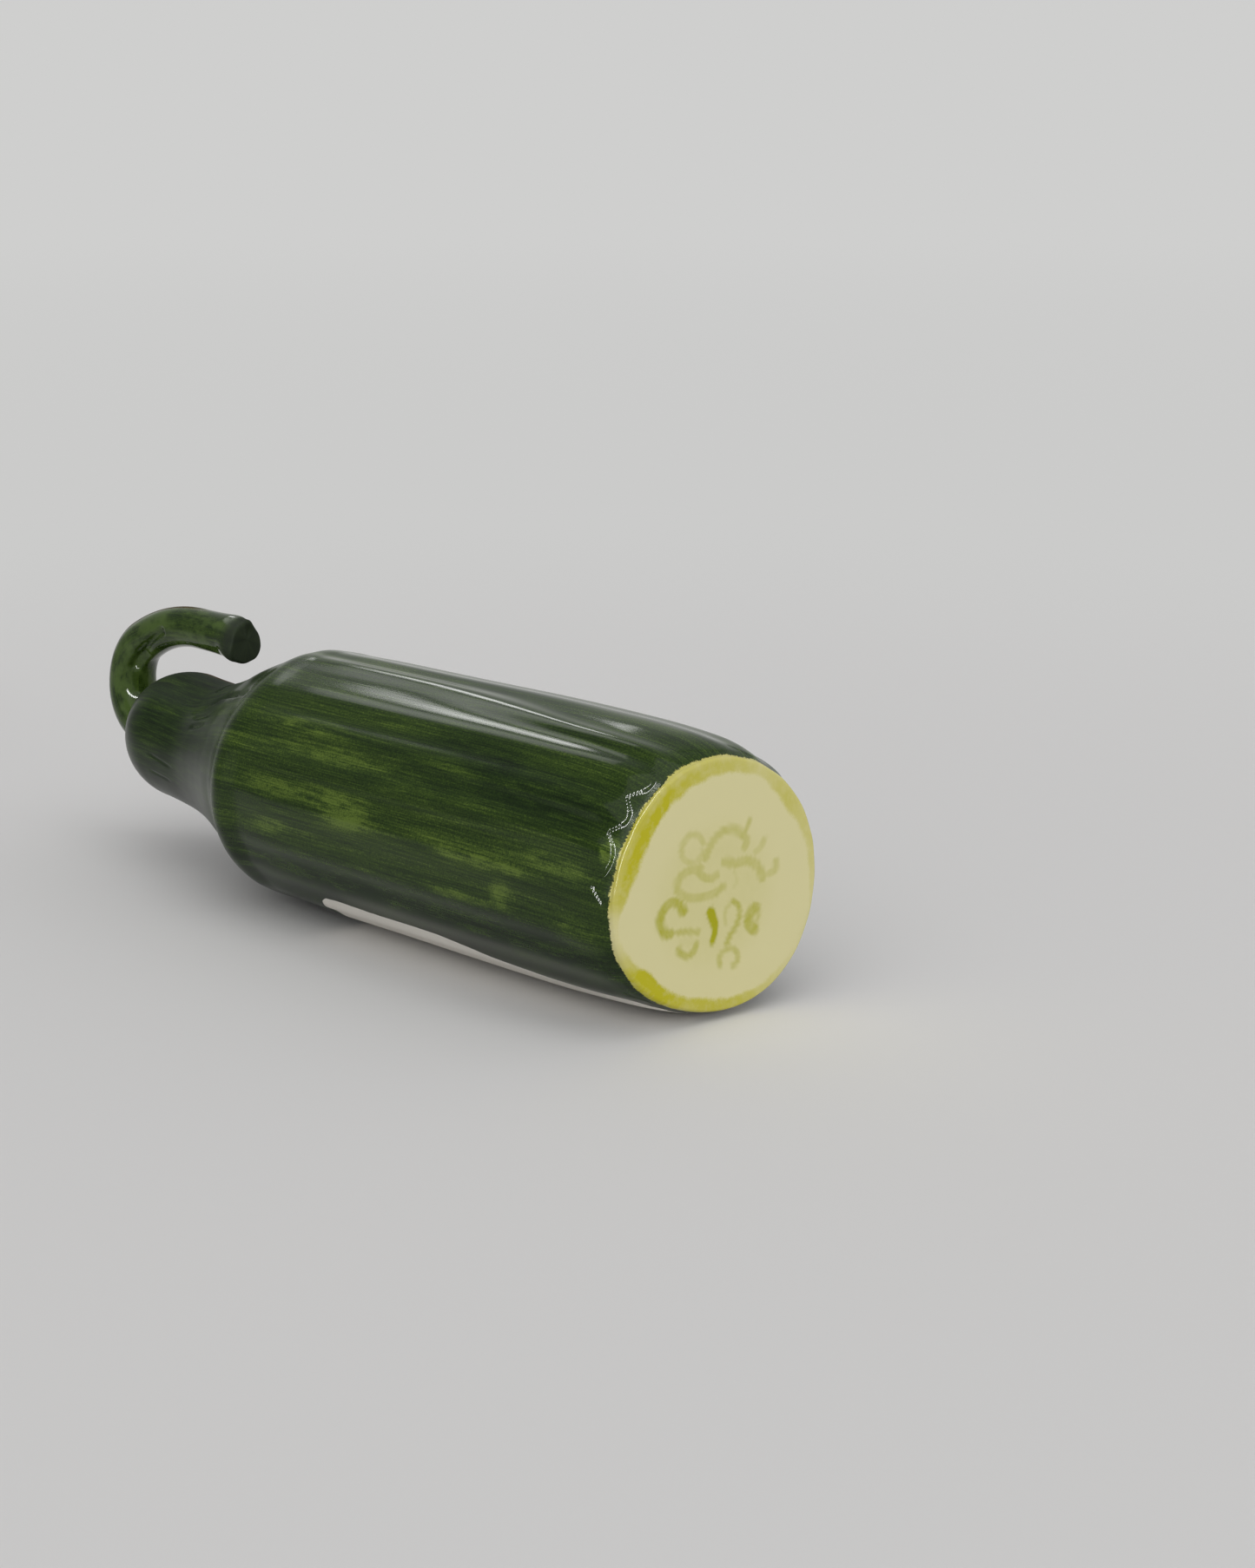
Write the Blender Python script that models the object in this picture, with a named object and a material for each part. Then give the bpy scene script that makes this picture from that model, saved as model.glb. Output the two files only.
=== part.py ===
"""Ceramic cucumber with one end sliced off, lying on its side.

It is one fired piece of clay: a ribbed body, a shoulder that runs in to a rounded neck, and a
stem that leaves the end of the neck and curls back over it. The surface is drawn as one sweep.
It starts at the slanted cut, follows a middle line back through the body and the neck, and goes
on round the bends of the stem. +X points along the body to the cut, +Z up, and the origin is
under the middle of the part, on the surface that it lies on. All lengths are in metres.
"""

import bisect
import math

import bmesh
import bpy

# The cut: its edge, and how far it is turned from square to the body.
CUT_X = 0.0977
CUT_RADIUS = 0.0242
CUT_HEIGHT = 0.0266
CUT_TURN = math.radians(7.5)
CUT_TURN_LENGTH = 0.030
CUT_EDGE = 0.0007
# Its edge is rounded over through one ring between the face and the skin.
CUT_EDGE_RING_BACK = 0.3 * CUT_EDGE
CUT_EDGE_RING_OUT = 0.72
# The cut is a little out of round: waves round its edge, their count, height and start.
CUT_WAVES = (
    (2, 0.00045, math.radians(-45.0)),
    (3, 0.00041, math.radians(37.0)),
    (4, 0.00028, math.radians(-109.0)),
)
CUT_WAVES_LENGTH = 0.035

# Body, shoulder and neck: distance back from the cut, radius, height of the middle.
OUTLINE = (
    (0.0007, 0.0249, 0.0265),
    (0.0029, 0.0259, 0.0268),
    (0.0064, 0.0267, 0.0271),
    (0.0124, 0.0273, 0.0274),
    (0.0244, 0.0278, 0.0277),
    (0.0484, 0.0281, 0.0278),
    (0.0784, 0.0280, 0.0277),
    (0.1034, 0.0280, 0.0276),
    (0.1144, 0.0278, 0.0277),
    (0.1180, 0.0278, 0.0278),
    (0.1208, 0.0276, 0.0278),
    (0.1236, 0.0268, 0.0277),
    (0.1264, 0.0256, 0.0277),
    (0.1300, 0.0243, 0.0277),
    (0.1340, 0.0228, 0.0276),
    (0.1380, 0.0211, 0.0274),
    (0.1425, 0.0193, 0.0273),
    (0.1484, 0.0173, 0.0272),
    (0.1554, 0.0156, 0.0271),
    (0.1624, 0.0151, 0.0277),
    (0.1694, 0.0150, 0.0284),
)

# The shoulder is fuller low down on both sides: by how much, where along the body and how far
# each way, and where round it and how far each way.
SHOULDER_SWELL = 0.0014
SHOULDER_SWELL_BACK = 0.1224
SHOULDER_SWELL_LENGTH = 0.0079
SHOULDER_SWELL_TURN = math.radians(104.0)
SHOULDER_SWELL_SPREAD = math.radians(72.0)

# Rounded end of the neck, a little fuller than half an ellipsoid, that the stem grows out of.
NECK_BACK, NECK_RADIUS, NECK_HEIGHT = OUTLINE[-1]
NECK_END_LENGTH = 0.0155
NECK_END_TURN = math.radians(61.0)
NECK_END_FULLNESS = 0.83

# Stem: distance along its middle line from where the neck's end stops, and its radius there.
STEM_TAPER = (
    (0.0004, 0.00700),
    (0.0012, 0.00655),
    (0.0024, 0.00615),
    (0.0040, 0.00595),
    (0.0080, 0.00595),
    (0.0200, 0.00552),
    (0.0320, 0.00510),
    (0.0480, 0.00478),
    (0.0580, 0.00482),
    (0.0660, 0.00515),
)
# It leaves the neck straight. Then come its bends in order, as radius and angle: up from the
# neck, back over it, and out to the tip.
STEM_ROOT_LENGTH = 0.0009
STEM_BENDS = (
    (0.0091, math.radians(90.0)),
    (0.0130, math.radians(60.0)),
    (0.0434, math.radians(30.8)),
)
STEM_TIP_LENGTH = 0.0174
# The last of it goes from round to the flats of a torn end, whose face leans down and sideways.
# The corners of that face are given as turns round the stem, once round, and their reach.
TIP_CORNERS = (
    (math.radians(-50.0), 0.0079),
    (math.radians(3.0), 0.0059),
    (math.radians(64.0), 0.0077),
    (math.radians(122.0), 0.0058),
    (math.radians(195.0), 0.0050),
    (math.radians(276.0), 0.0061),
    (math.radians(310.0), 0.0079),
)
TIP_CORNER_LENGTH = 0.0060
TIP_LEAN_DOWN = math.radians(-4.0)
TIP_LEAN_SIDEWAYS = math.radians(22.0)

# Long ribs round the body, which fade into the shoulder and die out on the underside.
RIB_COUNT = 20
RIB_HEIGHT = 0.00035
RIB_FADE = (0.1040, 0.1280)
RIB_AT_CUT = 0.15
RIB_CUT_LENGTH = 0.010
RIB_UNDER = (math.radians(15.0), math.radians(39.0))
# They were pressed in by hand: unevenly spaced, some stronger than others, and the one along the
# top runs from the far side of its place to the near side toward the cut.
RIB_START = math.radians(14.0)
RIB_SPACING_WAVES = ((2, 0.25, 1.90), (5, 0.30, 0.40))
RIB_STRENGTH = 0.70
RIB_STRENGTH_WAVES = ((1, 0.15, -0.35), (8, 0.25, -2.09))
RIB_TWIST_AT_CUT = math.radians(6.5)
RIB_TWIST_FAR = math.radians(-5.5)
RIB_TWIST_ALONG = (0.010, 0.085)
RIB_TWIST_MIDDLE = math.radians(12.0)
RIB_TWIST_SPREAD = math.radians(20.0)

# Fineness of the surface: sides round each tube, and the spans between rows along them.
BODY_SIDES = RIB_COUNT * 4
BODY_SPANS = (
    (0.0029, 0.0124, 4),
    (0.0124, 0.0244, 2),
    (0.0244, 0.1034, 8),
    (0.1034, 0.1184, 3),
    (0.1184, 0.1560, 16),
    (0.1560, 0.1694, 3),
)
DOME_STEPS = 9
STEM_SIDES = 24
STEM_FOOT = (0.0004, 0.0072, 5)
STEM_STEPS = 22
WELD = 0.000002

# Paint and glaze: cream over the cut, bare clay low on the underside, green everywhere else.
# Each is told by which way the surface faces and how far it is from the cut or the ground.
CUT_PAINT_FACING = 0.9
CUT_PAINT_DEPTH = 0.006
BARE_FACING = -0.8
BARE_HEIGHT = 0.004
SHARP_ANGLE = math.radians(40.0)
GLAZE_GREEN = (0.030, 0.052, 0.020, 1.0)
CUT_CREAM = (0.60, 0.54, 0.30, 1.0)
BARE_CLAY = (0.60, 0.58, 0.54, 1.0)


def clear_scene():
    for item in list(bpy.data.objects):
        bpy.data.objects.remove(item, do_unlink=True)


def ease(value, start, end):
    """Goes smoothly from 0 at start to 1 at end."""
    t = min(max((value - start) / (end - start), 0.0), 1.0)
    return t * t * (3.0 - 2.0 * t)


def curve_through(points, at):
    """A smooth curve through points sorted by their first value, read at one place."""
    keys = [point[0] for point in points]
    left = min(max(bisect.bisect_right(keys, at) - 1, 0), len(points) - 2)
    span = keys[left + 1] - keys[left]
    t = (at - keys[left]) / span
    result = []
    for column in range(1, len(points[0])):
        slopes = []
        for index in (left, left + 1):
            before = points[max(index - 1, 0)]
            after = points[min(index + 1, len(points) - 1)]
            slopes.append((after[column] - before[column]) / (after[0] - before[0]))
        start = points[left][column]
        end = points[left + 1][column]
        value = start * (1.0 + 2.0 * t) * (1.0 - t) ** 2 + end * (3.0 - 2.0 * t) * t * t
        value += span * (slopes[0] * t * (1.0 - t) ** 2 - slopes[1] * (1.0 - t) * t * t)
        result.append(value)
    return result


def spread(spans):
    """Evenly spaced places in each span, from the start of the first to the end of the last."""
    places = [spans[0][0]]
    for start, end, steps in spans:
        places += [start + (end - start) * step / steps for step in range(1, steps + 1)]
    return places


def waves(table, angle):
    """A sum of waves round the body, each with its count, height and start."""
    return sum(height * math.cos(count * angle + start) for count, height, start in table)


def rib_rise(back, angle):
    """How far the ribs lift the skin, at a place along the body and round it."""
    share = ease(back, *RIB_TWIST_ALONG)
    twist = RIB_TWIST_AT_CUT + (RIB_TWIST_FAR - RIB_TWIST_AT_CUT) * share
    twist *= 1.0 - ease(abs(angle - RIB_TWIST_MIDDLE), 0.0, RIB_TWIST_SPREAD)
    phase = RIB_COUNT * (angle - RIB_START - twist) + waves(RIB_SPACING_WAVES, angle)
    strength = RIB_STRENGTH + waves(RIB_STRENGTH_WAVES, angle)
    along = 1.0 - ease(back, *RIB_FADE)
    along *= RIB_AT_CUT + (1.0 - RIB_AT_CUT) * ease(back, 0.0, RIB_CUT_LENGTH)
    under = ease(math.pi - abs(angle), *RIB_UNDER)
    return RIB_HEIGHT * strength * along * under * math.cos(phase)


def shoulder_swell(back, angle):
    """How much fuller the shoulder is at a place along the body and round it."""
    along = 1.0 - ease(abs(back - SHOULDER_SWELL_BACK), 0.0, SHOULDER_SWELL_LENGTH)
    around = 1.0 - ease(abs(abs(angle) - SHOULDER_SWELL_TURN), 0.0, SHOULDER_SWELL_SPREAD)
    return SHOULDER_SWELL * along * around


def body_point(back, radius, height, turn):
    """A point of the body: turn goes round it from the top, and a flat under it is its foot."""
    angle = math.remainder(turn, math.tau)
    out_of_round = waves(CUT_WAVES, angle) * (1.0 - ease(back, 0.0, CUT_WAVES_LENGTH))
    reach = radius + out_of_round + rib_rise(back, angle) + shoulder_swell(back, angle)
    y = -reach * math.sin(angle)
    z = height + reach * math.cos(angle)
    slant = math.tan(CUT_TURN) * y * (1.0 - ease(back, CUT_EDGE, CUT_TURN_LENGTH))
    return (CUT_X - back + slant, y, max(z, 0.0))


def body_rows():
    """Sections from the edge of the cut to where the stem starts: back, radius, height."""
    ring_radius = CUT_RADIUS + CUT_EDGE_RING_OUT * (OUTLINE[0][1] - CUT_RADIUS)
    rows = [(0.0, CUT_RADIUS, CUT_HEIGHT), (CUT_EDGE_RING_BACK, ring_radius, CUT_HEIGHT)]
    for back in [CUT_EDGE] + spread(BODY_SPANS):
        rows.append((back, *curve_through(OUTLINE, back)))
    for step in range(1, DOME_STEPS + 1):
        turn = NECK_END_TURN * step / DOME_STEPS
        back = NECK_BACK + NECK_END_LENGTH * math.sin(turn)
        rows.append((back, NECK_RADIUS * math.cos(turn) ** NECK_END_FULLNESS, NECK_HEIGHT))
    return rows


def stem_length():
    bends = sum(radius * angle for radius, angle in STEM_BENDS)
    return STEM_ROOT_LENGTH + bends + STEM_TIP_LENGTH


def stem_place(distance):
    """The stem's middle line at a distance along it: x, z and its heading above -X."""
    straight = min(distance, STEM_ROOT_LENGTH)
    x = CUT_X - NECK_BACK - NECK_END_LENGTH * math.sin(NECK_END_TURN) - straight
    z = NECK_HEIGHT
    heading = 0.0
    distance -= straight
    for radius, angle in STEM_BENDS:
        swept = min(distance / radius, angle)
        x += radius * (math.sin(heading) - math.sin(heading + swept))
        z += radius * (math.cos(heading) - math.cos(heading + swept))
        heading += swept
        distance -= swept * radius
    return x - distance * math.cos(heading), z + distance * math.sin(heading), heading


def tip_reach(turn):
    """How far out the torn end's edge is. It runs straight from corner to corner."""
    start = TIP_CORNERS[0][0]
    turn = (turn - start) % math.tau + start
    reach = 0.0
    for (turn_1, reach_1), (turn_2, reach_2) in zip(TIP_CORNERS, TIP_CORNERS[1:]):
        if turn_1 <= turn <= turn_2:
            span = reach_1 * math.sin(turn - turn_1) + reach_2 * math.sin(turn_2 - turn)
            reach = reach_1 * reach_2 * math.sin(turn_2 - turn_1) / span
    return reach


def stem_point(distance, turn):
    """A point of the stem: turn goes round it from the inside of its bends."""
    x, z, heading = stem_place(distance)
    radius = curve_through(STEM_TAPER, distance)[0]
    length = stem_length()
    share = ease(distance, length - TIP_CORNER_LENGTH, length)
    radius += share * (tip_reach(turn) - radius)
    across = radius * math.sin(turn)
    above = radius * math.cos(turn)
    along = share * (math.tan(TIP_LEAN_DOWN) * above + math.tan(TIP_LEAN_SIDEWAYS) * across)
    x += above * math.sin(heading) - along * math.cos(heading)
    z += above * math.cos(heading) + along * math.sin(heading)
    return (x, -across, z)


def stem_rows():
    """Distances along the stem: close together at its foot, then evenly to the tip."""
    return spread((STEM_FOOT, (STEM_FOOT[1], stem_length(), STEM_STEPS)))


def add_tube(mesh, sides, rows, place):
    """Lays an open tube of a grid's rows, and closes its seam. place(row, turn) gives a point."""
    grid = bmesh.ops.create_grid(mesh, x_segments=sides, y_segments=len(rows) - 1, size=0.5)
    verts = grid["verts"]
    for vert in verts:
        turn = math.tau * (vert.co.x + 0.5)
        row = round((vert.co.y + 0.5) * (len(rows) - 1))
        vert.co = place(rows[row], turn)
    bmesh.ops.remove_doubles(mesh, verts=verts, dist=WELD)


def middle_x(loop):
    return sum(vert.co.x for edge in loop for vert in edge.verts) / (2 * len(loop))


def open_loops(mesh):
    """The tubes' open ends, each a list of edges, in their order along X."""
    left = {edge for edge in mesh.edges if edge.is_boundary}
    loops = []
    while left:
        loop = [left.pop()]
        grown = True
        while grown:
            ends = {vert for edge in loop for vert in edge.verts}
            near = {edge for edge in left if edge.verts[0] in ends or edge.verts[1] in ends}
            loop.extend(near)
            left -= near
            grown = bool(near)
        loops.append(loop)
    return sorted(loops, key=middle_x)


def make_material(name, colour, roughness):
    material = bpy.data.materials.new(name)
    material.use_nodes = True
    shader = material.node_tree.nodes["Principled BSDF"]
    shader.inputs["Base Color"].default_value = colour
    shader.inputs["Roughness"].default_value = roughness
    shader.inputs["Metallic"].default_value = 0.0
    material.diffuse_color = colour
    return material


def make_cucumber():
    mesh = bmesh.new()
    add_tube(mesh, BODY_SIDES, body_rows(), lambda row, turn: body_point(*row, turn))
    add_tube(mesh, STEM_SIDES, stem_rows(), stem_point)
    stem_foot, neck_end, stem_tip, cut = open_loops(mesh)
    bmesh.ops.bridge_loops(mesh, edges=stem_foot + neck_end)
    caps = bmesh.ops.holes_fill(mesh, edges=stem_tip + cut, sides=0)["faces"]
    bmesh.ops.poke(mesh, faces=caps)
    bmesh.ops.recalc_face_normals(mesh, faces=mesh.faces)
    for face in mesh.faces:
        face.smooth = True
        middle = face.calc_center_median()
        if face.normal.x > CUT_PAINT_FACING and middle.x > CUT_X - CUT_PAINT_DEPTH:
            face.material_index = 1
        elif face.normal.z < BARE_FACING and middle.z < BARE_HEIGHT:
            face.material_index = 2
    data = bpy.data.meshes.new("cucumber")
    mesh.to_mesh(data)
    mesh.free()
    data.materials.append(make_material("green glaze", GLAZE_GREEN, 0.12))
    data.materials.append(make_material("painted cut", CUT_CREAM, 0.45))
    data.materials.append(make_material("bare clay", BARE_CLAY, 0.80))
    data.set_sharp_from_angle(angle=SHARP_ANGLE)
    cucumber = bpy.data.objects.new("cucumber", data)
    bpy.context.scene.collection.objects.link(cucumber)
    return cucumber


clear_scene()
make_cucumber()
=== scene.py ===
"""The looks of a glazed ceramic cucumber with one end sliced off, lying on a pale floor."""

import math

import bmesh
import bpy
from mathutils import Matrix, Vector


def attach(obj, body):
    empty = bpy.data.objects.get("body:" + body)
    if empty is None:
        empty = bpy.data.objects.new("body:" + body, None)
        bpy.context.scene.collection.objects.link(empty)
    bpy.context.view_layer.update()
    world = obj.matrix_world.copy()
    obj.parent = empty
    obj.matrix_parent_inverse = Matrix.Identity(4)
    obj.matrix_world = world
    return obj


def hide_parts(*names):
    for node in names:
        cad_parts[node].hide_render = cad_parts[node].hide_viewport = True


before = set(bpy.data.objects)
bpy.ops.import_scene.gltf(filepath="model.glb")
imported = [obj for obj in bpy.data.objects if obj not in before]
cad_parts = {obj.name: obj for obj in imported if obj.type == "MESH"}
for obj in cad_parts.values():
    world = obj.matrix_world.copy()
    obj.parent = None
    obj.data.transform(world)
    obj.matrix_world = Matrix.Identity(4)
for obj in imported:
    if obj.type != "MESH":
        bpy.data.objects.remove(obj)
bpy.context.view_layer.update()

scene = bpy.context.scene

# Camera
# It looks down the length of the cucumber from beyond the cut end, a little from above. Its place
# and its angles were fitted to the photograph, whose frame is upright.
CAMERA_PLACE = (0.4237, -0.3460, 0.1653)
CAMERA_HEADING = math.radians(45.38)
CAMERA_DOWN = math.radians(14.0)
CAMERA_LENS = 50.0
CAMERA_SENSOR = 30.0

lens = bpy.data.cameras.new("camera")
lens.lens = CAMERA_LENS
lens.sensor_width = CAMERA_SENSOR
camera = bpy.data.objects.new("camera", lens)
camera.location = CAMERA_PLACE
camera.rotation_euler = (math.pi / 2.0 - CAMERA_DOWN, 0.0, CAMERA_HEADING)
scene.collection.objects.link(camera)
scene.camera = camera

# Clay body
# The cucumber is one piece of earthenware, pressed with long ribs and fired. Its surface is one
# sweep from the middle of the cut, over the cut's rounded rim, along the body and round the neck.
# Sizes here are in millimetres, and back is a distance along the body from the cut.
MM = 0.001
CUT_X = 97.7
CUT_RADIUS = 24.2
CUT_HEIGHT = 26.6
CUT_TURN = math.radians(7.5)
CUT_TURN_LENGTH = 30.0
RIM = 0.7
# The cut is a little out of round: waves round it, each with its count, height and start.
CUT_WAVES = (
    (2, 0.45, math.radians(-45.0)),
    (3, 0.41, math.radians(37.0)),
    (4, 0.28, math.radians(-109.0)),
)
CUT_WAVES_LENGTH = 35.0
# The body and the neck: distance back, radius, and how high the middle lies.
OUTLINE = (
    (0.7, 24.9, 26.5),
    (2.9, 25.9, 26.8),
    (6.4, 26.7, 27.1),
    (12.4, 27.3, 27.4),
    (24.4, 27.8, 27.7),
    (48.4, 28.1, 27.8),
    (78.4, 28.0, 27.7),
    (103.4, 28.0, 27.6),
    (114.4, 27.8, 27.7),
    (118.0, 27.8, 27.8),
    (120.8, 27.6, 27.8),
    (123.6, 26.8, 27.7),
    (126.4, 25.6, 27.7),
    (130.0, 24.3, 27.7),
    (134.0, 22.8, 27.6),
    (138.0, 21.1, 27.4),
    (142.5, 19.3, 27.3),
    (148.4, 17.3, 27.2),
    (155.4, 15.6, 27.1),
    (162.4, 15.1, 27.7),
    (169.4, 15.0, 28.4),
)
NECK_BACK, NECK_RADIUS, NECK_HEIGHT = OUTLINE[-1]
NECK_END_LENGTH = 15.5
NECK_END_TURN = math.radians(61.0)
NECK_END_FULLNESS = 0.83
# The ribs fade out over the shoulder and under the body, and are low at the cut. Near the top they
# wind a little with the distance back, and their spacing and height are uneven.
RIB_COUNT = 20
RIB_HEIGHT = 0.35
RIB_FADE = (104.0, 128.0)
RIB_AT_CUT = 0.15
RIB_CUT_LENGTH = 10.0
RIB_UNDER = (math.radians(15.0), math.radians(39.0))
RIB_START = math.radians(14.0)
RIB_TWIST_AT_CUT = math.radians(6.5)
RIB_TWIST_FAR = math.radians(-5.5)
RIB_TWIST_ALONG = (10.0, 85.0)
RIB_TWIST_MIDDLE = math.radians(12.0)
RIB_TWIST_SPREAD = math.radians(20.0)
RIB_SPACING_WAVES = ((2, 0.25, 1.9), (5, 0.30, 0.4))
RIB_STRENGTH = 0.70
RIB_STRENGTH_WAVES = ((1, 0.15, -0.35), (8, 0.25, -2.09))
INSET = 0.08
# The shoulder is fuller low down on both sides: by how much, where along the body and how far
# each way, and where round it and how far each way.
SHOULDER_SWELL = 1.4
SHOULDER_SWELL_BACK = 122.4
SHOULDER_SWELL_LENGTH = 7.9
SHOULDER_SWELL_TURN = math.radians(104.0)
SHOULDER_SWELL_SPREAD = math.radians(72.0)
# The ribs end in rounded tips just short of the cut, over a narrow collar: how far back it reaches
# on a rib and between ribs, the length of the fold at its edge, and how far below the ribs it lies.
COLLAR_ON_RIB = 2.1
COLLAR_BETWEEN_RIBS = 4.8
COLLAR_FOLD = 0.32
COLLAR_DROP = 0.32
# It lies that low round a middle on the near side, and rises to a share of that drop elsewhere.
COLLAR_MIDDLE = math.radians(58.0)
COLLAR_SPREAD = (math.radians(20.0), math.radians(36.0))
COLLAR_ELSEWHERE = 0.25
# Lower down on that side the rib tips are pulled downwards by a few degrees.
COLLAR_PULL = math.radians(6.0)
COLLAR_PULL_FROM = (math.radians(62.0), math.radians(84.0))
# Creases and thumb marks in the neck: distance back and degrees round of both ends, half width
# and depth.
NECK_DENTS = (
    (150.5, 19.0, 152.5, -6.0, 1.2, 0.8),
    (125.0, 39.0, 131.0, 39.0, 1.1, 0.5),
    (131.0, 39.0, 140.0, 34.0, 1.3, 0.9),
    (140.0, 34.0, 144.5, 38.0, 1.1, 0.7),
    (152.0, 46.0, 146.5, 41.0, 0.8, 0.30),
    (149.5, 51.0, 142.0, 49.0, 0.8, 0.30),
    (149.0, 59.0, 143.0, 56.0, 0.9, 0.35),
    (161.0, 37.0, 156.0, 37.0, 0.6, 0.15),
    (156.0, 37.0, 152.5, 34.0, 0.6, 0.15),
    (165.0, 93.0, 157.0, 96.0, 0.6, 0.20),
    (166.0, 110.0, 159.5, 111.0, 0.6, 0.15),
    (168.0, 54.0, 162.5, 51.0, 0.6, 0.12),
)
# All of them lie within this stretch.
NECK_DENTS_BACK = (120.0, 171.4)
# How finely the mesh is divided: round the body, from the middle of the cut, over its rim, in each
# span along the body, and over the end of the neck.
BODY_SIDES = RIB_COUNT * 17
FACE_STEPS = 32
RIM_STEPS = 6
BODY_SPANS = (
    (0.7, 5.9, 60),
    (5.9, 12.3, 12),
    (12.3, 114.3, 40),
    (114.3, 155.7, 54),
    (155.7, 169.4, 15),
)
DOME_STEPS = 16
# Points closer than this become one, and faces that meet at more than this stay sharp.
SEAM_GAP = 0.002
SHARP_EDGE = math.radians(50.0)


def ease(value, start, end):
    """Goes smoothly from 0 at start to 1 at end."""
    t = min(max((value - start) / (end - start), 0.0), 1.0)
    return t * t * (3.0 - 2.0 * t)


def curve_through(points, at):
    """A smooth curve through points sorted by their first value, read at one place."""
    left = 0
    while left < len(points) - 2 and points[left + 1][0] <= at:
        left += 1
    span = points[left + 1][0] - points[left][0]
    t = (at - points[left][0]) / span
    result = []
    for column in range(1, len(points[0])):
        slopes = []
        for index in (left, left + 1):
            before = points[max(index - 1, 0)]
            after = points[min(index + 1, len(points) - 1)]
            slopes.append((after[column] - before[column]) / (after[0] - before[0]))
        start = points[left][column]
        end = points[left + 1][column]
        value = start * (1.0 + 2.0 * t) * (1.0 - t) ** 2 + end * (3.0 - 2.0 * t) * t * t
        value += span * (slopes[0] * t * (1.0 - t) ** 2 - slopes[1] * (1.0 - t) * t * t)
        result.append(value)
    return result


def spread(spans):
    """Evenly spaced places in each span, from the start of the first to the end of the last."""
    places = [spans[0][0]]
    for start, end, steps in spans:
        places += [start + (end - start) * step / steps for step in range(1, steps + 1)]
    return places


def waves(table, angle):
    """A sum of waves round the body, each with its count, height and start."""
    return sum(height * math.cos(count * angle + start) for count, height, start in table)


def rib_phase(back, angle):
    """How far round its wave the row of ribs is, 0 on a crest."""
    share = ease(back, *RIB_TWIST_ALONG)
    twist = RIB_TWIST_AT_CUT + (RIB_TWIST_FAR - RIB_TWIST_AT_CUT) * share
    twist *= 1.0 - ease(abs(angle - RIB_TWIST_MIDDLE), 0.0, RIB_TWIST_SPREAD)
    return RIB_COUNT * (angle - RIB_START - twist) + waves(RIB_SPACING_WAVES, angle)


def rib_rise(back, angle):
    """How far the ribs lift the skin, at a place along the body and round it."""
    strength = RIB_STRENGTH + waves(RIB_STRENGTH_WAVES, angle)
    along = 1.0 - ease(back, *RIB_FADE)
    along *= RIB_AT_CUT + (1.0 - RIB_AT_CUT) * ease(back, 0.0, RIB_CUT_LENGTH)
    under = ease(math.pi - abs(angle), *RIB_UNDER)
    return RIB_HEIGHT * strength * along * under * math.cos(rib_phase(back, angle))


def collar_drop(back, angle):
    """How far the collar lies below the ribs that end over it."""
    pulled = COLLAR_PULL * ease(angle, *COLLAR_PULL_FROM)
    between = 1.0 - abs(math.cos(0.5 * rib_phase(back, angle - pulled)))
    line = COLLAR_ON_RIB + (COLLAR_BETWEEN_RIBS - COLLAR_ON_RIB) * between
    near = 1.0 - ease(abs(angle - COLLAR_MIDDLE), *COLLAR_SPREAD)
    drop = COLLAR_DROP * (COLLAR_ELSEWHERE + (1.0 - COLLAR_ELSEWHERE) * near)
    return drop * (1.0 - ease(back, line - 0.5 * COLLAR_FOLD, line + 0.5 * COLLAR_FOLD))


def dent(along, turn, radius, dents):
    """How deep a table's dents press in the skin of a tube, at a place along and round it."""
    depth = 0.0
    for start, start_turn, end, end_turn, width, deep in dents:
        line = Vector((end - start, radius * math.radians(end_turn - start_turn)))
        round_from_start = math.remainder(turn - math.radians(start_turn), math.tau)
        place = Vector((along - start, radius * round_from_start))
        share = min(max(place.dot(line) / line.length_squared, 0.0), 1.0)
        depth = max(depth, deep * (1.0 - ease((place - share * line).length, 0.0, width)))
    return depth


def shoulder_swell(back, angle):
    """How much fuller the shoulder is at a place along the body and round it."""
    along = 1.0 - ease(abs(back - SHOULDER_SWELL_BACK), 0.0, SHOULDER_SWELL_LENGTH)
    around = 1.0 - ease(abs(abs(angle) - SHOULDER_SWELL_TURN), 0.0, SHOULDER_SWELL_SPREAD)
    return SHOULDER_SWELL * along * around


def body_point(row, turn):
    """A point of the body: turn goes round it from the top, and a flat under it is its foot."""
    back, radius, height, share = row
    angle = math.remainder(turn, math.tau)
    out_of_round = waves(CUT_WAVES, angle) * (1.0 - ease(back, 0.0, CUT_WAVES_LENGTH))
    reach = radius + out_of_round + rib_rise(back, angle) + shoulder_swell(back, angle) - INSET
    if back > RIM:
        reach -= collar_drop(back, angle) * ease(back, RIM, RIM + COLLAR_FOLD)
    if NECK_DENTS_BACK[0] < back < NECK_DENTS_BACK[1]:
        reach -= dent(back, angle, radius, NECK_DENTS)
    reach *= share
    y = -reach * math.sin(angle)
    z = height + reach * math.cos(angle)
    slant = math.tan(CUT_TURN) * y * (1.0 - ease(back, RIM, CUT_TURN_LENGTH))
    return (CUT_X - back + slant, y, max(z, 0.0))


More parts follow.
